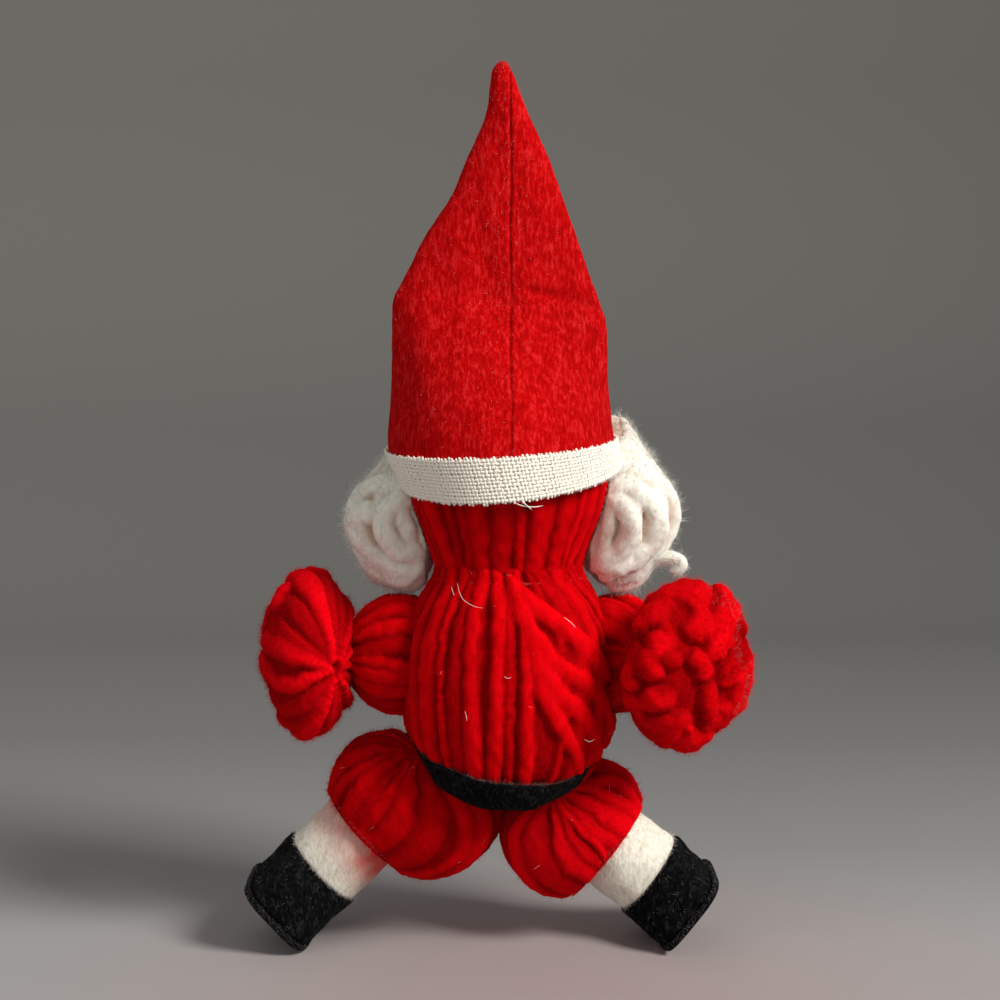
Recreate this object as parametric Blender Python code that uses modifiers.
"""A yarn doll: roving wound over stuffing on a wire armature, with felt hat, belt and boots.

The front of the doll faces -Y, so +X is the doll's own left. The floor is at Z = 0.
Every soft form keeps its swelling shape; strands and weave are left to the finish.
"""
import math

import bmesh
import bpy
from mathutils import Matrix, Vector

# Where the doll stands on its own origin, the middle of its box at floor level
DOLL_X = -0.0029
DOLL_Y = 0.0021

# Clearances
SEAT_GAP = 0.0003       # between pieces that touch on the real doll
JOINT_GAP = 0.0008      # between pieces that turn past each other
CUT_OVERRUN = 0.0040    # how far a cutter passes the face that it cuts

# Body: an egg of roving over stuffing, tied at the neck and gathered below
TORSO_HALF_WIDTH = 0.0302
TORSO_HEIGHT = 0.0620
TORSO_OVER_HIPS = 0.0055
BODY_DEPTH_SHARE = 0.9
YARN_LAYER = 0.0040
WAIST_OPENING = 0.0058
TORSO_OUTLINE_SHARES = (
    (0.70, 1.0), (0.74, 0.968), (0.85, 0.887), (0.95, 0.758), (1.0, 0.56), (0.98, 0.38),
    (0.92, 0.265), (0.84, 0.175), (0.765, 0.11), (0.69, 0.05), (0.60, 0.0),
)
TIE_RADIUS = 0.0008
WAIST_TIE_RADIUS = 0.0028
WAIST_TIE_Y = 0.0014

# Belt: one felt strip round the waist, its end lapped over at the back
BELT_HEIGHT = 0.0080
BELT_THICKNESS = 0.0012
BELT_BACK_OVER_TORSO = 0.0005
BELT_RISE = 0.0140
BELT_LAP_STEP = 0.0022
BELT_END_TURN = math.radians(-21)
BELT_LAP_TURN = math.radians(30)
BELT_RISE_START = math.radians(10)
BELT_RISE_END = math.radians(125)
BELT_STEPS = 64

# Head: a ball under red roving, with a felt face and white roving
NECK_GAP = 0.0006
HEAD_HALF_WIDTH = 0.0274
HEAD_HEIGHT = 0.0566
HEAD_LAYER = 0.0034
HEAD_OUTLINE_SHARES = (
    (0.0, 1.0), (0.16, 0.985), (0.36, 0.935), (0.55, 0.87), (0.75, 0.77), (0.90, 0.655),
    (0.985, 0.53), (1.0, 0.40), (0.955, 0.30), (0.87, 0.21), (0.775, 0.115), (0.735, 0.0),
)
FACE_HALF_WIDTH = 0.0155
FACE_HALF_HEIGHT = 0.0130
FACE_OVER_NECK = 0.0136
FACE_FELT = 0.0012
EYE_RADIUS = 0.0018
EYE_HALF_SPACING = 0.0072
EYE_OVER_NECK = 0.0185
NOSE_RADIUS = 0.0030
NOSE_OVER_NECK = 0.0135
MOUSTACHE_RADIUS = 0.0026
MOUSTACHE_HALF_WIDTH = 0.0125
MOUSTACHE_OVER_NECK = 0.0084
MOUSTACHE_DROOP = 0.0022
MOUSTACHE_SHARES = ((-1.0, 0.35), (-0.8, 0.75), (-0.5, 1.0), (-0.2, 0.9), (0.0, 0.6),
                    (0.2, 0.9), (0.5, 1.0), (0.8, 0.75), (1.0, 0.35))

# White roving: each ball is (x, y, z over the neck, radius) as shares of the head's half-width
BEARD_BALL_SHARES = (
    (-0.33, -0.88, 0.05, 0.20), (0.33, -0.88, 0.05, 0.20), (0.0, -0.98, -0.02, 0.26),
    (-0.15, -1.12, -0.30, 0.16), (0.15, -1.12, -0.30, 0.16),
)
LEFT_HAIR_BALL_SHARES = (
    (1.08, -0.28, 0.40, 0.46), (0.98, -0.28, 0.06, 0.31), (1.05, -0.45, 0.83, 0.17),
)
RIGHT_HAIR_BALL_SHARES = (
    (-1.22, -0.28, 0.50, 0.47), (-0.98, -0.28, 0.08, 0.32), (-1.04, -0.50, 1.30, 0.15),
)

# Hat: one cone of felt, round at the brim and pressed flat above the head, with a woven band
FELT = 0.0012
HAT_HALF_WIDTH = 0.0304
HAT_HALF_DEPTH = 0.0272
HAT_HEIGHT = 0.1083
HAT_OVER_NECK = 0.0258
HAT_X = 0.0014
HAT_TOP_SOLID = 0.0045
# (height, half-width, half-depth, shift back, rise per unit of x, rise per unit of y)
HAT_RING_SHARES = (
    (0.0, 1.0, 1.0, 0.02, -0.078, -0.130), (0.11, 1.0, 0.95, 0.05, -0.072, -0.120),
    (0.22, 0.99, 0.74, 0.13, -0.030, -0.080), (0.33, 0.968, 0.42, 0.25, 0.045, -0.035),
    (0.425, 0.94, 0.165, 0.34, 0.100, 0.0), (0.56, 0.715, 0.145, 0.39, 0.075, 0.0),
    (0.70, 0.485, 0.125, 0.43, 0.050, 0.0), (0.84, 0.255, 0.105, 0.46, 0.020, 0.0),
    (0.96, 0.075, 0.07, 0.48, 0.0, 0.0), (1.0, 0.025, 0.025, 0.49, 0.0, 0.0),
)
HAT_ROOM_SHARE = 0.25
BAND_HEIGHT = 0.0118
BAND_THICKNESS = 0.0013

# Arms: a puffed sleeve on a wire, tied at the wrist, and a flared bunch of loops for a hand
ARM_X = 0.0300
ARM_Y = -0.0050
ARM_UNDER_NECK = 0.0245
SLEEVE_HALF_WIDTH = 0.0155
SLEEVE_HALF_HEIGHT = 0.0170
HAND_OUT = 0.0247
HAND_HALF_THICKNESS = 0.0135
HAND_RADIUS = 0.0230
HAND_LOBES = 8
HAND_LOBE_SHARE = 0.05
WRIST_TIE_RADIUS = 0.0052
LEFT_ARM_BACK = math.radians(0)
RIGHT_ARM_BACK = math.radians(43)

# Legs: a puff of roving, a felt legging and a felt boot on a wire that slopes out and down
HIP_Y = -0.0080
LEFT_HIP_X = 0.0300
RIGHT_HIP_X = -0.0190
LEFT_LEG_SLOPE = math.radians(43)
RIGHT_LEG_SLOPE = math.radians(38)
LEFT_LEG_REACH = 0.0472
RIGHT_LEG_REACH = 0.0404
PUFF_LIFT = 0.0010
LEFT_PUFF_OUT = 0.0035
RIGHT_PUFF_OUT = 0.0030
LEFT_PUFF_RADIUS = 0.0172
RIGHT_PUFF_RADIUS = 0.0168
SEAT_DROP = 0.0048
LEFT_SEAT_IN = 0.0065
RIGHT_SEAT_IN = 0.0030
LEFT_SEAT_RADIUS = 0.0190
RIGHT_SEAT_RADIUS = 0.0178
CUFF_SHARE = 0.31
LEGGING_RADIUS = 0.0121
LEGGING_INSIDE_SHARE = 0.14
LEGGING_END_SHARE = 0.635
BOOT_TOP_INSIDE = 0.0030
BOOT_SHAPE_SHARES = (0.3, 0.55, 0.8)
ANKLE_SHARE = 0.9
SOLE_HALF_WIDTH = 0.0124
SOLE_HALF_LENGTH = 0.0180
SOLE_THICKNESS = 0.0020
SOLE_RIM = 0.0008
SOLE_BACK = 0.0022
SOLE_SQUARENESS = 4.0
FLAT_DEPTH = 0.0005
HIP_BACK_TURN = math.radians(-20)
HIP_SOCKET_STEP = math.radians(30)
HIP_SOCKET_TURNS = 4

# Armature
WIRE_RADIUS = 0.0008
SPINE_PIN = 0.0300
SPINE_END_OVER_TORSO = 0.0080
HIP_WIRE_OVER_TORSO = 0.0180

# Fineness of the round shapes
BODY_STEPS = 24
BALL_STEPS = 20
TUFT_STEPS = 16
HAND_STEPS = 4          # sides for each lobe of a hand, and rings for each half of it
BEAD_STEPS = 14
SMALL_STEPS = 10
RING_STEPS = 32
THREAD_STEPS = 16
MERGE = 0.00001

# Colours, roughness
RED_YARN = (0.62, 0.004, 0.010, 0.90)
RED_FELT = (0.56, 0.006, 0.012, 0.95)
WHITE_YARN = (0.80, 0.78, 0.74, 0.90)
WHITE_WEAVE = (0.76, 0.73, 0.65, 0.92)
BLACK_FELT = (0.008, 0.009, 0.010, 0.95)
CREAM_FELT = (0.74, 0.70, 0.60, 0.95)
STUFFING_WHITE = (0.85, 0.84, 0.80, 1.0)
WIRE_GREY = (0.50, 0.50, 0.52, 0.35)
THREAD_RED = (0.30, 0.004, 0.008, 0.85)
FOAM_TAN = (0.70, 0.62, 0.48, 0.85)
FACE_TONE = (0.78, 0.50, 0.38, 0.92)
EYE_BLACK = (0.005, 0.005, 0.006, 0.15)
NOSE_PINK = (0.60, 0.10, 0.09, 0.60)

# Heights that follow from the legs
LEFT_HIP_Z = (LEFT_LEG_REACH * math.sin(LEFT_LEG_SLOPE)
              + SOLE_HALF_WIDTH * math.cos(LEFT_LEG_SLOPE) - FLAT_DEPTH)
RIGHT_HIP_Z = (RIGHT_LEG_REACH * math.sin(RIGHT_LEG_SLOPE)
               + SOLE_HALF_WIDTH * math.cos(RIGHT_LEG_SLOPE) - FLAT_DEPTH)
TORSO_Z = (LEFT_HIP_Z + RIGHT_HIP_Z) / 2 + TORSO_OVER_HIPS
NECK_Z = TORSO_Z + TORSO_HEIGHT + NECK_GAP
ARM_Z = NECK_Z - ARM_UNDER_NECK


def clear_scene():
    """Start from nothing: remove what the file already holds."""
    for thing in list(bpy.data.objects):
        bpy.data.objects.remove(thing, do_unlink=True)


def make_collection(name):
    collection = bpy.data.collections.new(name)
    bpy.context.scene.collection.children.link(collection)
    return collection


def make_material(name, colour, metallic=0.0):
    """One Principled material: red, green, blue and roughness."""
    material = bpy.data.materials.new(name)
    material.use_nodes = True
    shader = material.node_tree.nodes["Principled BSDF"]
    shader.inputs["Base Color"].default_value = (colour[0], colour[1], colour[2], 1.0)
    shader.inputs["Roughness"].default_value = colour[3]
    shader.inputs["Metallic"].default_value = metallic
    material.diffuse_color = (colour[0], colour[1], colour[2], 1.0)
    return material


def make_empty(name, place, parent=None, turn=(0.0, 0.0, 0.0)):
    empty = bpy.data.objects.new(name, None)
    PARTS.objects.link(empty)
    empty.location = place
    empty.rotation_euler = turn
    empty.parent = parent
    return empty


def make_object(name, mesh, parent, colour=None, metallic=0.0):
    """A sub-part with a colour, or a cutter without one."""
    made = bpy.data.objects.new(name, mesh)
    made.parent = parent
    if colour is None:
        CUTTERS.objects.link(made)
        made.hide_render = True
        made.display_type = "WIRE"
    else:
        PARTS.objects.link(made)
        mesh.materials.append(make_material(name, colour, metallic))
        mesh.shade_smooth()
    return made


def mesh_from(name, bm):
    mesh = bpy.data.meshes.new(name)
    bmesh.ops.recalc_face_normals(bm, faces=bm.faces)
    bm.to_mesh(mesh)
    bm.free()
    return mesh


def cut(target, *cutters):
    """Take each cutter's volume out of the target."""
    for cutter in cutters:
        step = target.modifiers.new("cut by " + cutter.name, "BOOLEAN")
        step.operation = "DIFFERENCE"
        step.object = cutter


def keep_inside(target, mould):
    step = target.modifiers.new("inside " + mould.name, "BOOLEAN")
    step.operation = "INTERSECT"
    step.object = mould


def loft_mesh(name, rings, cyclic=False):
    """Skin rings of equal point counts; cap both ends, or join the last ring to the first."""
    bm = bmesh.new()
    loops = [[bm.verts.new(point) for point in ring] for ring in rings]
    count = len(loops[0])
    pairs = list(zip(loops, loops[1:]))
    if cyclic:
        pairs.append((loops[-1], loops[0]))
    for low, high in pairs:
        for i in range(count):
            j = (i + 1) % count
            bm.faces.new((low[i], low[j], high[j], high[i]))
    if not cyclic:
        bm.faces.new(loops[0])
        bm.faces.new(loops[-1])
    return mesh_from(name, bm)


def turned_mesh(name, outline, closed):
    """Half-outline of (radius, height) points, to be spun about Z by a Screw modifier."""
    bm = bmesh.new()
    points = [bm.verts.new((radius, 0.0, height)) for radius, height in outline]
    for a, b in zip(points, points[1:]):
        bm.edges.new((a, b))
    if closed:
        bm.edges.new((points[-1], points[0]))
    mesh = bpy.data.meshes.new(name)
    bm.to_mesh(mesh)
    bm.free()
    return mesh


def turned(name, outline, parent, colour=None, closed=False, depth_share=1.0):
    """A turned shape, whose depth may be a share of its width."""
    made = make_object(name, turned_mesh(name, outline, closed), parent, colour)
    spin = made.modifiers.new("spin", "SCREW")
    spin.steps = spin.render_steps = BODY_STEPS
    spin.use_merge_vertices = True
    spin.merge_threshold = MERGE
    spin.use_smooth_shade = True
    made.scale = (1.0, depth_share, 1.0)
    return made


def hull(name, balls, parent, colour=None, grow=0.0, steps=BALL_STEPS):
    """The smooth skin stretched over balls, each (centre, radii)."""
    bm = bmesh.new()
    for centre, radii in balls:
        size = Matrix.Diagonal([radius + grow for radius in radii] + [1.0])
        bmesh.ops.create_uvsphere(bm, u_segments=steps, v_segments=steps // 2,
                                  radius=1.0, matrix=Matrix.Translation(centre) @ size)
    corners = [vert.co.copy() for vert in bm.verts]
    bm.clear()
    verts = [bm.verts.new(corner) for corner in corners]
    bmesh.ops.convex_hull(bm, input=verts)
    loose = [vert for vert in bm.verts if not vert.link_faces]
    bmesh.ops.delete(bm, geom=loose, context="VERTS")
    return make_object(name, mesh_from(name, bm), parent, colour)


def ellipsoid(name, centre, radii, parent, colour=None, grow=0.0, steps=BALL_STEPS):
    bm = bmesh.new()
    size = Matrix.Diagonal([radius + grow for radius in radii] + [1.0])
    bmesh.ops.create_uvsphere(bm, u_segments=steps, v_segments=steps // 2, radius=1.0,
                              matrix=Matrix.Translation(centre) @ size)
    return make_object(name, mesh_from(name, bm), parent, colour)


def rod(name, start, end, radius, parent, colour=None, metallic=0.0, steps=SMALL_STEPS):
    """A straight round bar between two points."""
    start, end = Vector(start), Vector(end)
    along = end - start
    place = (Matrix.Translation((start + end) / 2)
             @ along.to_track_quat("Z", "Y").to_matrix().to_4x4())
    bm = bmesh.new()
    bmesh.ops.create_cone(bm, cap_ends=True, segments=steps, radius1=radius,
                          radius2=radius, depth=along.length, matrix=place)
    return make_object(name, mesh_from(name, bm), parent, colour, metallic)


def ring(name, centre, across, radius, thickness, parent, colour=None, depth_share=1.0):
    """A thread tied round: a torus about the direction across."""
    turn = Vector(across).to_track_quat("Z", "Y")
    rings = []
    for i in range(THREAD_STEPS):
        a = math.tau * i / THREAD_STEPS
        out = Vector((math.cos(a), math.sin(a) * depth_share, 0.0))
        loop = []
        for j in range(SMALL_STEPS // 2):
            b = math.tau * j / (SMALL_STEPS // 2)
            spot = out * (radius + thickness * math.cos(b)) + Vector((0, 0, thickness * math.sin(b)))
            loop.append(Vector(centre) + turn @ spot)
        rings.append(loop)
    return make_object(name, loft_mesh(name, rings, cyclic=True), parent, colour)


def torso_radius(height):
    """Half-width of the body at a height over its lower end."""
    share = min(max(height / TORSO_HEIGHT, 0.0), 1.0)
    for (wide_a, high_a), (wide_b, high_b) in zip(TORSO_OUTLINE_SHARES, TORSO_OUTLINE_SHARES[1:]):
        if high_b <= share <= high_a:
            t = (share - high_b) / (high_a - high_b)
            return TORSO_HALF_WIDTH * (wide_b + (wide_a - wide_b) * t)
    return TORSO_HALF_WIDTH


def torso_outline(inset):
    """The body's outer side from the neck down, drawn in by inset."""
    return [(TORSO_HALF_WIDTH * wide - inset, TORSO_Z + TORSO_HEIGHT * high)
            for wide, high in TORSO_OUTLINE_SHARES]


def chest_outline():
    """The room that the body and its neck thread need as the head turns over them."""
    tie_out = torso_radius(TORSO_HEIGHT - TIE_RADIUS * 2) + (TIE_RADIUS + SEAT_GAP) * 2 + JOINT_GAP
    tie_low = TORSO_Z + TORSO_HEIGHT - TIE_RADIUS * 3 - JOINT_GAP
    below = [(radius + JOINT_GAP, height) for radius, height in torso_outline(0.0)
             if height < tie_low]
    return ([(0.0, NECK_Z), (tie_out, NECK_Z), (tie_out, tie_low)] + below
            + [(0.0, below[-1][1])])


def head_outline(grow):
    """The head's outer side from the crown down, grown by grow both out and up."""
    return [((HEAD_HALF_WIDTH + grow) * wide, NECK_Z + (HEAD_HEIGHT + grow) * high)
            for wide, high in HEAD_OUTLINE_SHARES]


def puff_balls(side):
    """The outer ball and the lower seat ball that a leg's puff is stretched over, from its hip."""
    outer = Vector((side["sign"] * side["puff_out"], 0.0, PUFF_LIFT))
    seat = Vector((-side["sign"] * side["seat_in"], 0.0, -SEAT_DROP))
    return [(outer, (side["puff"],) * 3), (seat, (side["seat"],) * 3)]


def swept_balls(side):
    """A puff's balls at each turn of the leg's swing, from the doll's middle."""
    balls = []
    for i in range(HIP_SOCKET_TURNS):
        turn = Matrix.Rotation(-(HIP_BACK_TURN + HIP_SOCKET_STEP * i), 3, "X")
        balls += [(side["hip"] + turn @ centre, radii) for centre, radii in puff_balls(side)]
    return balls


def swept_reach(side, away):
    """How far the leg's socket reaches from its hip along a direction."""
    reaches = []
    for centre, radii in swept_balls(side):
        middle = centre - side["hip"]
        radius = radii[0] + JOINT_GAP + SEAT_GAP
        along = middle.dot(away)
        reaches.append(along + math.sqrt(radius ** 2 - middle.length_squared + along ** 2))
    return max(reaches)


def ball_top(centre, radius, x, y):
    """Height of a ball's upper side over a point, or far below where it doesn't reach."""
    reach = radius ** 2 - (x - centre.x) ** 2 - (y - centre.y) ** 2
    return centre.z + math.sqrt(reach) if reach > 0 else 0.0


def sleeve_low(x, y):
    """Height of the sleeves' underside over a point, or the shoulder's where they don't reach."""
    share = math.hypot(abs(x) - ARM_X, y - ARM_Y) / (SLEEVE_HALF_WIDTH + JOINT_GAP)
    return ARM_Z - (SLEEVE_HALF_HEIGHT + JOINT_GAP) * math.sqrt(max(1.0 - share ** 2, 0.0))


def belt_edges(turn):
    """The belt's lower and upper edge: lowest at the back, squeezed between puff and sleeve."""
    share = (abs(turn) - BELT_RISE_START) / (BELT_RISE_END - BELT_RISE_START)
    share = min(max(share, 0.0), 1.0)
    low = TORSO_Z + BELT_BACK_OVER_TORSO + BELT_RISE * (1 - math.cos(math.pi * share)) / 2
    radius = torso_radius(low - TORSO_Z) + BELT_THICKNESS
    x, y = radius * math.sin(turn), radius * math.cos(turn) * BODY_DEPTH_SHARE
    for side in SIDES:
        for centre, radii in swept_balls(side):
            low = max(low, ball_top(centre, radii[0] + JOINT_GAP + SEAT_GAP, x, y))
    radius = torso_radius(low - TORSO_Z) + BELT_THICKNESS
    x, y = radius * math.sin(turn), radius * math.cos(turn) * BODY_DEPTH_SHARE
    return low, min(low + BELT_HEIGHT, sleeve_low(x, y) - SEAT_GAP)


def make_belt(parent):
    """A strip that starts under its own lap, goes once round and ends on top at the back."""
    turns = math.tau + BELT_LAP_TURN
    rings = []
    for i in range(BELT_STEPS + 1):
        done = turns * i / BELT_STEPS
        turn = BELT_END_TURN + turns - done
        facing = (turn + math.pi) % math.tau - math.pi
        lap = min(max((done - math.tau + BELT_LAP_TURN) / BELT_LAP_TURN, 0.0), 1.0)
        under = min(max(1.0 - done / BELT_LAP_TURN, 0.0), 1.0)
        low, high = belt_edges(facing)
        loop = []
        for out, edge in ((0.0, low), (1.0, low), (1.0, high), (0.0, high)):
            height = edge + BELT_LAP_STEP * under
            radius = (torso_radius(height - TORSO_Z) + SEAT_GAP * 2 + BELT_THICKNESS * out
                      + (BELT_THICKNESS + SEAT_GAP * 2) * lap)
            loop.append(Vector((radius * math.sin(turn),
                                radius * math.cos(turn) * BODY_DEPTH_SHARE, height)))
        rings.append(loop)
    return make_object("belt", loft_mesh("belt", rings), parent, BLACK_FELT)


def make_wires(parent):
    """The spine, the bar through the shoulders and the staple over the hips."""
    spine_low = (0.0, 0.0, TORSO_Z + SPINE_END_OVER_TORSO)
    spine_high = (0.0, 0.0, NECK_Z + SPINE_PIN)
    rod("spine_wire", spine_low, spine_high, WIRE_RADIUS, parent, WIRE_GREY, 1.0)
    spine_bore = rod("spine_bore", (0.0, 0.0, spine_low[2] - SEAT_GAP),
                     (0.0, 0.0, spine_high[2] + SEAT_GAP), WIRE_RADIUS + SEAT_GAP, parent)
    reach = ARM_X - SLEEVE_HALF_WIDTH - JOINT_GAP - SEAT_GAP
    rod("shoulder_wire", (-reach, ARM_Y, ARM_Z), (reach, ARM_Y, ARM_Z), WIRE_RADIUS, parent,
        WIRE_GREY, 1.0)
    shoulder_bore = rod("shoulder_bore", (-ARM_X, ARM_Y, ARM_Z), (ARM_X, ARM_Y, ARM_Z),
                        WIRE_RADIUS + SEAT_GAP, parent)
    return spine_bore, shoulder_bore, make_hip_wire(parent)


def tube_along(name, points, radius, parent, colour=None, metallic=0.0):
    """A bent wire: a square-cut ring of points carried along each run."""
    rings = []
    for i, point in enumerate(points):
        before = points[max(i - 1, 0)]
        after = points[min(i + 1, len(points) - 1)]
        turn = (after - before).to_track_quat("Z", "Y")
        rings.append([point + turn @ Vector((radius * math.cos(math.tau * j / SMALL_STEPS),
                                             radius * math.sin(math.tau * j / SMALL_STEPS), 0.0))
                      for j in range(SMALL_STEPS)])
    return make_object(name, loft_mesh(name, rings), parent, colour, metallic)


def make_hip_wire(parent):
    """A staple that hooks over in front of the spine and points down to both puffs."""
    top = Vector((0.0, -(WIRE_RADIUS + SEAT_GAP) * 2, TORSO_Z + HIP_WIRE_OVER_TORSO))
    ends, bores = [], []
    for side in SIDES:
        away = (top - side["hip"]).normalized()
        clear = swept_reach(side, away) + WIRE_RADIUS
        ends.append(side["hip"] + away * clear)
        bores.append(side["hip"] + away * (clear - CUT_OVERRUN))
    tube_along("hip_wire", [ends[0], top, ends[1]], WIRE_RADIUS, parent, WIRE_GREY, 1.0)
    return tube_along("hip_bore", [bores[0], top, bores[1]], WIRE_RADIUS + SEAT_GAP, parent)


def make_torso(parent):
    """Roving over stuffing, hollowed where the arms and legs nest in it."""
    outer = torso_outline(0.0)
    inner = torso_outline(YARN_LAYER)
    floor = TORSO_Z + YARN_LAYER
    inner = [(radius, max(height, floor)) for radius, height in inner[:-1]]
    shell = outer + [(WAIST_OPENING, TORSO_Z), (WAIST_OPENING, floor)] + inner[::-1]
    yarn = turned("torso_yarn", shell, parent, RED_YARN, closed=True,
                  depth_share=BODY_DEPTH_SHARE)
    core = [(radius, height) for radius, height in torso_outline(YARN_LAYER + SEAT_GAP * 2)[:-1]]
    core = [(radius, max(height, floor + SEAT_GAP)) for radius, height in core]
    stuffing = turned("torso_stuffing", [(0.0, core[0][1])] + core + [(0.0, core[-1][1])],
                      parent, STUFFING_WHITE, depth_share=BODY_DEPTH_SHARE)
    return yarn, stuffing


def make_ties(parent):
    """The thread at the neck, and the one that gathers the body's lower end."""
    height = TORSO_HEIGHT - TIE_RADIUS * 2
    radius = torso_radius(height) + SEAT_GAP * 2 + TIE_RADIUS
    ring("neck_tie", (0.0, 0.0, TORSO_Z + height), (0, 0, 1), radius, TIE_RADIUS, parent,
         THREAD_RED, BODY_DEPTH_SHARE)
    ring("waist_tie", (0.0, WAIST_TIE_Y, TORSO_Z), (0, 0, 1), WAIST_TIE_RADIUS, TIE_RADIUS,
         parent, THREAD_RED)


def sleeve_socket(side):
    radii = (SLEEVE_HALF_WIDTH, SLEEVE_HALF_WIDTH, SLEEVE_HALF_HEIGHT)
    return ellipsoid(side["name"] + "_sleeve_socket", side["shoulder"], radii, DOLL,
                     grow=JOINT_GAP)


def make_body():
    """Everything that the legs, arms and head move against."""
    body = make_empty("torso", (0.0, 0.0, 0.0), DOLL)
    spine_bore, shoulder_bore, hip_bore = make_wires(body)
    yarn, stuffing = make_torso(body)
    make_ties(body)
    make_belt(body)
    sockets = [hull(side["name"] + "_hip_socket", swept_balls(side), body, grow=JOINT_GAP)
               for side in SIDES]
    sockets += [sleeve_socket(side) for side in SIDES]
    cut(yarn, *sockets, shoulder_bore, hip_bore)
    cut(stuffing, *sockets, spine_bore, shoulder_bore, hip_bore)


def head_shape(name, grow, parent, low=None):
    """The head's outside as a solid, its lower end at the neck or below it."""
    outline = head_outline(grow)
    end = (outline[-1][0], NECK_Z if low is None else low)
    outline = outline[:-1] + ([] if low is None else [outline[-1]]) + [end, (0.0, end[1])]
    return turned(name, outline, parent, depth_share=BODY_DEPTH_SHARE)


def make_head_core(parent):
    """A ball on the spine's pin, and the red roving drawn over it and open at the neck."""
    outer = head_outline(0.0)
    inner = head_outline(-HEAD_LAYER)
    turned("head_yarn", outer + inner[::-1], parent, RED_YARN, depth_share=BODY_DEPTH_SHARE)
    core = head_outline(-HEAD_LAYER - SEAT_GAP * 2)
    core[-1] = (core[-1][0], NECK_Z + SEAT_GAP)
    ball = turned("head_ball", core + [(0.0, core[-1][1])], parent, FOAM_TAN,
                  depth_share=BODY_DEPTH_SHARE)
    bore = rod("head_bore", (0.0, 0.0, NECK_Z - CUT_OVERRUN),
               (0.0, 0.0, NECK_Z + SPINE_PIN + SEAT_GAP), WIRE_RADIUS + SEAT_GAP, parent)
    cut(ball, bore)


def face_front(height, x, layer):
    """Y of the head's front at a place, layer out from the roving."""
    share = (height - NECK_Z) / (HEAD_HEIGHT + layer)
    for (wide_a, high_a), (wide_b, high_b) in zip(HEAD_OUTLINE_SHARES, HEAD_OUTLINE_SHARES[1:]):
        if high_b <= share <= high_a:
            t = (share - high_b) / (high_a - high_b)
            radius = (HEAD_HALF_WIDTH + layer) * (wide_b + (wide_a - wide_b) * t)
            return -BODY_DEPTH_SHARE * math.sqrt(max(radius ** 2 - x ** 2, 0.0))
    return 0.0


def make_face(parent):
    """A plain felt face with bead eyes and a small round nose."""
    felt = head_shape("face_felt_blank", SEAT_GAP + FACE_FELT, parent)
    under = head_shape("face_felt_back", SEAT_GAP, parent, NECK_Z - CUT_OVERRUN)
    height = NECK_Z + FACE_OVER_NECK
    depth = HEAD_HALF_WIDTH + CUT_OVERRUN
    patch = rod("face_felt", (0.0, 0.0, height), (0.0, -depth, height), FACE_HALF_WIDTH, parent,
                FACE_TONE, steps=RING_STEPS)
    squeeze = Matrix.Diagonal((1.0, 1.0, FACE_HALF_HEIGHT / FACE_HALF_WIDTH, 1.0))
    centre = Matrix.Translation((0.0, 0.0, height))
    patch.data.transform(centre @ squeeze @ centre.inverted())
    keep_inside(patch, felt)
    cut(patch, under)
    skin = SEAT_GAP * 3 + FACE_FELT
    for name, x in (("left_eye", EYE_HALF_SPACING), ("right_eye", -EYE_HALF_SPACING)):
        z = NECK_Z + EYE_OVER_NECK
        y = face_front(z, x, skin) - EYE_RADIUS
        ellipsoid(name, (x, y, z), (EYE_RADIUS,) * 3, parent, EYE_BLACK, steps=SMALL_STEPS)
    z = NECK_Z + NOSE_OVER_NECK
    y = face_front(z, 0.0, skin) - NOSE_RADIUS
    ellipsoid("nose", (0.0, y, z), (NOSE_RADIUS,) * 3, parent, NOSE_PINK, steps=BEAD_STEPS)


def moustache_shape(name, grow, parent, colour=None):
    """Two drooping tufts that meet under the nose, as one tapering tube."""
    rings, skin = [], SEAT_GAP * 3 + FACE_FELT
    for across, swell in MOUSTACHE_SHARES:
        x = (MOUSTACHE_HALF_WIDTH + grow) * across
        z = NECK_Z + MOUSTACHE_OVER_NECK - MOUSTACHE_DROOP * across ** 2
        y = face_front(z + MOUSTACHE_RADIUS, abs(x), skin) - MOUSTACHE_RADIUS
        radius = MOUSTACHE_RADIUS * swell + grow
        rings.append([Vector((x, y + radius * math.sin(math.tau * j / SMALL_STEPS),
                              z + radius * math.cos(math.tau * j / SMALL_STEPS)))
                      for j in range(SMALL_STEPS)])
    return make_object(name, loft_mesh(name, rings), parent, colour)


def tuft(name, ball_shares, parent):
    """White roving stretched over its balls."""
    unit = HEAD_HALF_WIDTH
    balls = [(Vector((x * unit, y * unit, NECK_Z + z * unit)), (radius * unit,) * 3)
             for x, y, z, radius in ball_shares]
    return hull(name, balls, parent, WHITE_YARN, steps=TUFT_STEPS)


def hat_ring(share_row, inset=0.0, out=0.0):
    """One ring of the hat: an oval, tilted, at its place up the cone."""
    high, wide, deep, back, roll, pitch = share_row
    half_x = HAT_HALF_WIDTH * wide - inset + out
    half_y = HAT_HALF_DEPTH * deep - inset + out
    centre = Vector((HAT_X, HAT_HALF_DEPTH * back, NECK_Z + HAT_OVER_NECK + HAT_HEIGHT * high))
    loop = []
    for i in range(RING_STEPS):
        a = math.tau * i / RING_STEPS
        x, y = half_x * math.cos(a), half_y * math.sin(a)
        loop.append(centre + Vector((x, y, roll * x + pitch * y)))
    return loop


def hat_row_at(share):
    """The hat's ring values at any share of its height."""
    rows = HAT_RING_SHARES
    for low, high in zip(rows, rows[1:]):
        if low[0] <= share <= high[0]:
            t = (share - low[0]) / (high[0] - low[0])
            return tuple(a + (b - a) * t for a, b in zip(low, high))
    return rows[-1]


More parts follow.
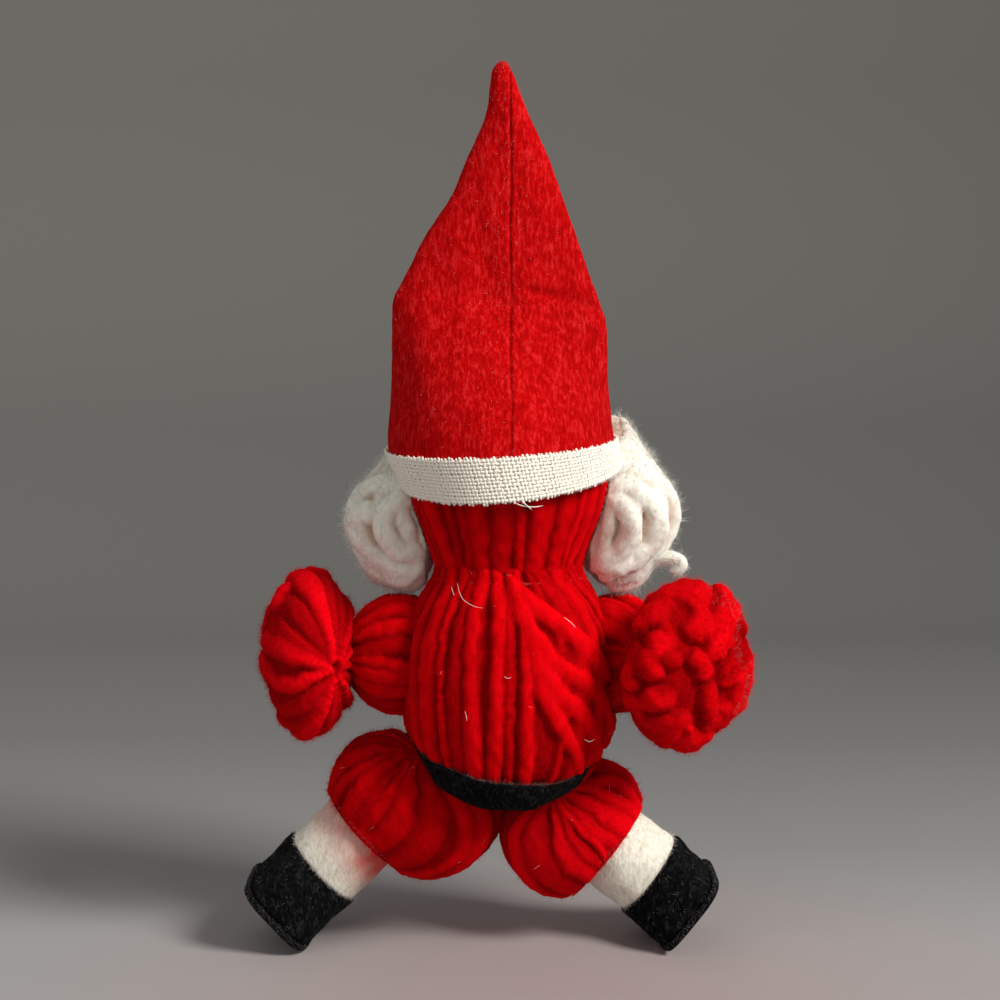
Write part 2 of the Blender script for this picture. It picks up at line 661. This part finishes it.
def make_hat(parent):
    """The felt cone and the woven band round its brim."""
    outer = [hat_ring(row) for row in HAT_RING_SHARES]
    top_share = 1.0 - HAT_TOP_SOLID / HAT_HEIGHT
    inner_rows = [row for row in HAT_RING_SHARES
                  if row[1] * HAT_HALF_WIDTH > FELT * 4 and row[0] < top_share]
    inner = [hat_ring(row, inset=FELT) for row in inner_rows]
    make_object("hat_cone", loft_mesh("hat_cone", inner[::-1] + outer), parent, RED_FELT)
    band_rows = [hat_row_at(0.0), hat_row_at(BAND_HEIGHT / HAT_HEIGHT)]
    inside = [hat_ring(row, out=SEAT_GAP) for row in band_rows]
    outside = [hat_ring(row, out=SEAT_GAP + BAND_THICKNESS) for row in band_rows]
    rings = [inside[0], outside[0], outside[1], inside[1]]
    make_object("hat_band", loft_mesh("hat_band", rings, cyclic=True), parent, WHITE_WEAVE)
    room = SEAT_GAP * 2 + BAND_THICKNESS
    low, high = HAT_RING_SHARES[0], hat_row_at(HAT_ROOM_SHARE)
    below = [point - Vector((0.0, 0.0, SEAT_GAP)) for point in hat_ring(low, out=room)]
    cutter = loft_mesh("hat_room", [below, hat_ring(band_rows[1], out=room),
                                    hat_ring(high, out=room)])
    return make_object("hat_room", cutter, parent)


def make_head():
    """The head turns on the neck with its face, white roving and hat."""
    head = make_empty("head", (0.0, 0.0, 0.0), DOLL)
    make_head_core(head)
    make_face(head)
    moustache_shape("moustache", 0.0, head, WHITE_YARN)
    moustache_room = moustache_shape("moustache_room", SEAT_GAP * 2, head)
    hat_room = make_hat(head)
    chest = turned("chest_room", chest_outline(), head)
    roving_room = head_shape("roving_room", SEAT_GAP, head, NECK_Z - NECK_GAP)
    face_room = head_shape("face_room", SEAT_GAP * 3 + FACE_FELT, head, NECK_Z - NECK_GAP)
    beard = tuft("beard", BEARD_BALL_SHARES, head)
    cut(beard, face_room, chest, moustache_room)
    for name, shares in (("left_hair", LEFT_HAIR_BALL_SHARES),
                         ("right_hair", RIGHT_HAIR_BALL_SHARES)):
        cut(tuft(name, shares, head), roving_room, chest, hat_room)


def lobed_hand(name, parent, colour):
    """A bunch of loops: a flattened ball whose rim swells in lobes, its axis along X."""
    bm = bmesh.new()
    bmesh.ops.create_uvsphere(bm, u_segments=HAND_LOBES * HAND_STEPS,
                              v_segments=HAND_STEPS * 2, radius=1.0)
    for vert in bm.verts:
        out = math.hypot(vert.co.x, vert.co.y)
        lobe = 1.0 + HAND_LOBE_SHARE * out * math.cos(HAND_LOBES * math.atan2(vert.co.y, vert.co.x))
        vert.co = Vector((HAND_OUT + vert.co.z * HAND_HALF_THICKNESS,
                          vert.co.y * HAND_RADIUS * lobe, vert.co.x * HAND_RADIUS * lobe))
    return make_object(name, mesh_from(name, bm), parent, colour)


def make_arm(side):
    """Sleeve, wire, wrist thread and hand about one shoulder."""
    turn = side["arm_back"] if side["sign"] > 0 else math.pi - side["arm_back"]
    arm = make_empty(side["name"] + "_arm", side["shoulder"], DOLL, (0.0, 0.0, turn))
    name = side["name"]
    radii = (SLEEVE_HALF_WIDTH, SLEEVE_HALF_WIDTH, SLEEVE_HALF_HEIGHT)
    sleeve = ellipsoid(name + "_sleeve_yarn", (0.0, 0.0, 0.0), radii, arm, RED_YARN)
    room = ellipsoid(name + "_sleeve_room", (0.0, 0.0, 0.0), radii, arm, grow=SEAT_GAP * 2)
    start = (-SLEEVE_HALF_WIDTH + WIRE_RADIUS * 2, 0.0, 0.0)
    end = (HAND_OUT, 0.0, 0.0)
    rod(name + "_arm_wire", start, end, WIRE_RADIUS, arm, WIRE_GREY, 1.0)
    bore = rod(name + "_arm_bore", (start[0] - SEAT_GAP, 0.0, 0.0),
               (end[0] + SEAT_GAP, 0.0, 0.0), WIRE_RADIUS + SEAT_GAP, arm)
    swell = math.sqrt(1.0 - (WRIST_TIE_RADIUS / SLEEVE_HALF_HEIGHT) ** 2)
    wrist = SLEEVE_HALF_WIDTH * swell + SEAT_GAP * 2 + TIE_RADIUS
    ring(name + "_wrist_tie", (wrist, 0.0, 0.0), (1, 0, 0), WRIST_TIE_RADIUS, TIE_RADIUS,
         arm, THREAD_RED)
    tie_room = ring(name + "_wrist_room", (wrist, 0.0, 0.0), (1, 0, 0), WRIST_TIE_RADIUS,
                    TIE_RADIUS + SEAT_GAP, arm)
    cut(sleeve, bore)
    cut(lobed_hand(name + "_hand_loops", arm, RED_YARN), room, bore, tie_room)


def sole_ring(along, half_width, half_length, ankle_share=0.0):
    """A ring square to the leg: a round at the ankle, a squared oval at the sole."""
    loop = []
    for i in range(RING_STEPS):
        a = math.tau * i / RING_STEPS
        c, s = math.cos(a), math.sin(a)
        oval = (abs(c) ** SOLE_SQUARENESS + abs(s) ** SOLE_SQUARENESS) ** (-1 / SOLE_SQUARENESS)
        width = half_width * c * (oval + (1.0 - oval) * ankle_share)
        length = half_length * s * (oval + (1.0 - oval) * ankle_share)
        loop.append(Vector((along, length + SOLE_BACK * (1.0 - ankle_share), width)))
    return loop


def boot_rings(side, inset):
    """The boot from its top edge inside the legging to the sole, drawn in by inset."""
    legging_end = side["reach"] * LEGGING_END_SHARE
    sole = side["reach"] - SOLE_THICKNESS - SEAT_GAP
    neck = LEGGING_RADIUS - FELT - SEAT_GAP - inset
    ankle = LEGGING_RADIUS + SOLE_RIM - inset
    width = SOLE_HALF_WIDTH - SOLE_RIM - inset
    length = SOLE_HALF_LENGTH - SOLE_RIM - inset
    start = legging_end + SEAT_GAP
    rings = [sole_ring(legging_end - BOOT_TOP_INSIDE, neck, neck, 1.0),
             sole_ring(start + inset, neck, neck, 1.0),
             sole_ring(start + inset + SOLE_RIM, ankle, ankle, ANKLE_SHARE)]
    for share in BOOT_SHAPE_SHARES:
        along = start + (sole - start) * share
        grown = math.sin(math.pi / 2 * share)
        rings.append(sole_ring(along, ankle + (width - ankle) * grown,
                               ankle + (length - ankle) * grown,
                               ANKLE_SHARE * (1.0 - grown)))
    rings.append(sole_ring(sole, width, length))
    return rings


def make_floor_cutter():
    """A slab under the floor, which leaves each boot its small flat."""
    bm = bmesh.new()
    bmesh.ops.create_cube(bm, size=1.0)
    mesh = mesh_from("floor_cut", bm)
    slab = LEFT_LEG_REACH + LEFT_HIP_X + SOLE_HALF_LENGTH
    mesh.transform(Matrix.Diagonal((slab * 4, slab * 4, slab, 1.0)))
    made = make_object("floor_cut", mesh, None)
    made.location = (0.0, 0.0, -slab / 2)
    return made


def make_boot(side, leg, floor, bore):
    """Felt upper, sole and stuffing on the end of the leg."""
    name = side["name"]
    outer = boot_rings(side, 0.0)
    inner = boot_rings(side, FELT)
    upper = make_object(name + "_boot_upper", loft_mesh(name + "_boot_upper",
                        outer + inner[::-1], cyclic=True), leg, BLACK_FELT)
    filling = boot_rings(side, FELT + SEAT_GAP * 2)
    stuffing = make_object(name + "_boot_stuffing",
                           loft_mesh(name + "_boot_stuffing", filling), leg, STUFFING_WHITE)
    rim = [sole_ring(side["reach"] - SOLE_THICKNESS, SOLE_HALF_WIDTH, SOLE_HALF_LENGTH),
           sole_ring(side["reach"], SOLE_HALF_WIDTH, SOLE_HALF_LENGTH)]
    sole = make_object(name + "_boot_sole", loft_mesh(name + "_boot_sole", rim), leg, BLACK_FELT)
    cut(upper, floor)
    cut(sole, floor)
    cut(stuffing, bore)


def make_leg(side, floor):
    """Puff, wire, legging and boot about one hip."""
    name = side["name"]
    hip = make_empty(name + "_hip", side["hip"], DOLL)
    slope = side["slope"] if side["sign"] > 0 else math.pi - side["slope"]
    leg = make_empty(name + "_leg", (0.0, 0.0, 0.0), hip, (0.0, slope, 0.0))
    reach, cuff = side["reach"], side["reach"] * CUFF_SHARE
    inside = reach * LEGGING_INSIDE_SHARE
    end = reach * LEGGING_END_SHARE
    puff = hull(name + "_pants_yarn", puff_balls(side), hip, RED_YARN)
    beyond = rod(name + "_cuff_cut", (cuff, 0.0, 0.0), (cuff + side["puff"] * 2, 0.0, 0.0),
                 side["puff"] * 2, leg, steps=RING_STEPS)
    well = rod(name + "_legging_room", (inside - SEAT_GAP, 0.0, 0.0),
               (cuff + CUT_OVERRUN, 0.0, 0.0), LEGGING_RADIUS + SEAT_GAP * 2, leg,
               steps=RING_STEPS)
    wire_start, wire_end = -side["puff"] / 2, reach - SOLE_THICKNESS - SEAT_GAP * 3
    rod(name + "_leg_wire", (wire_start, 0.0, 0.0), (wire_end, 0.0, 0.0), WIRE_RADIUS, leg,
        WIRE_GREY, 1.0)
    bore = rod(name + "_leg_bore", (wire_start - SEAT_GAP, 0.0, 0.0),
               (reach + CUT_OVERRUN, 0.0, 0.0), WIRE_RADIUS + SEAT_GAP, leg)
    tie_radius = LEGGING_RADIUS + SEAT_GAP * 2 + TIE_RADIUS
    tie_at = cuff - TIE_RADIUS * 2
    ring(name + "_ankle_tie", (tie_at, 0.0, 0.0), (1, 0, 0), tie_radius, TIE_RADIUS, leg,
         THREAD_RED)
    tie_room = ring(name + "_ankle_room", (tie_at, 0.0, 0.0), (1, 0, 0), tie_radius,
                    TIE_RADIUS + SEAT_GAP, leg)
    cut(puff, beyond, well, bore, tie_room)
    tube = [sole_ring(inside, LEGGING_RADIUS, LEGGING_RADIUS, 1.0),
            sole_ring(end, LEGGING_RADIUS, LEGGING_RADIUS, 1.0)]
    lining = [sole_ring(end, LEGGING_RADIUS - FELT, LEGGING_RADIUS - FELT, 1.0),
              sole_ring(inside, LEGGING_RADIUS - FELT, LEGGING_RADIUS - FELT, 1.0)]
    make_object(name + "_legging", loft_mesh(name + "_legging", tube + lining, cyclic=True), leg,
                CREAM_FELT)
    core = LEGGING_RADIUS - FELT - SEAT_GAP * 2
    filling = rod(name + "_leg_stuffing", (inside + SEAT_GAP, 0.0, 0.0),
                  (end - BOOT_TOP_INSIDE - SEAT_GAP, 0.0, 0.0), core, leg, STUFFING_WHITE,
                  steps=RING_STEPS)
    cut(filling, bore)
    make_boot(side, leg, floor, bore)


STAND = Vector((DOLL_X, DOLL_Y, 0.0))
SIDES = (
    {"name": "left", "sign": 1.0, "hip": Vector((LEFT_HIP_X, HIP_Y, LEFT_HIP_Z)),
     "slope": LEFT_LEG_SLOPE, "reach": LEFT_LEG_REACH, "puff": LEFT_PUFF_RADIUS,
     "puff_out": LEFT_PUFF_OUT, "seat": LEFT_SEAT_RADIUS, "seat_in": LEFT_SEAT_IN,
     "arm_back": LEFT_ARM_BACK,
     "shoulder": Vector((ARM_X, ARM_Y, ARM_Z))},
    {"name": "right", "sign": -1.0, "hip": Vector((RIGHT_HIP_X, HIP_Y, RIGHT_HIP_Z)),
     "slope": RIGHT_LEG_SLOPE, "reach": RIGHT_LEG_REACH, "puff": RIGHT_PUFF_RADIUS,
     "puff_out": RIGHT_PUFF_OUT, "seat": RIGHT_SEAT_RADIUS, "seat_in": RIGHT_SEAT_IN,
     "arm_back": RIGHT_ARM_BACK,
     "shoulder": Vector((-ARM_X, ARM_Y, ARM_Z))},
)

clear_scene()
PARTS = make_collection("yarn_doll")
CUTTERS = make_collection("cutters")
DOLL = make_empty("doll", STAND)
make_body()
make_head()
FLOOR = make_floor_cutter()
for one_side in SIDES:
    make_arm(one_side)
    make_leg(one_side, FLOOR)
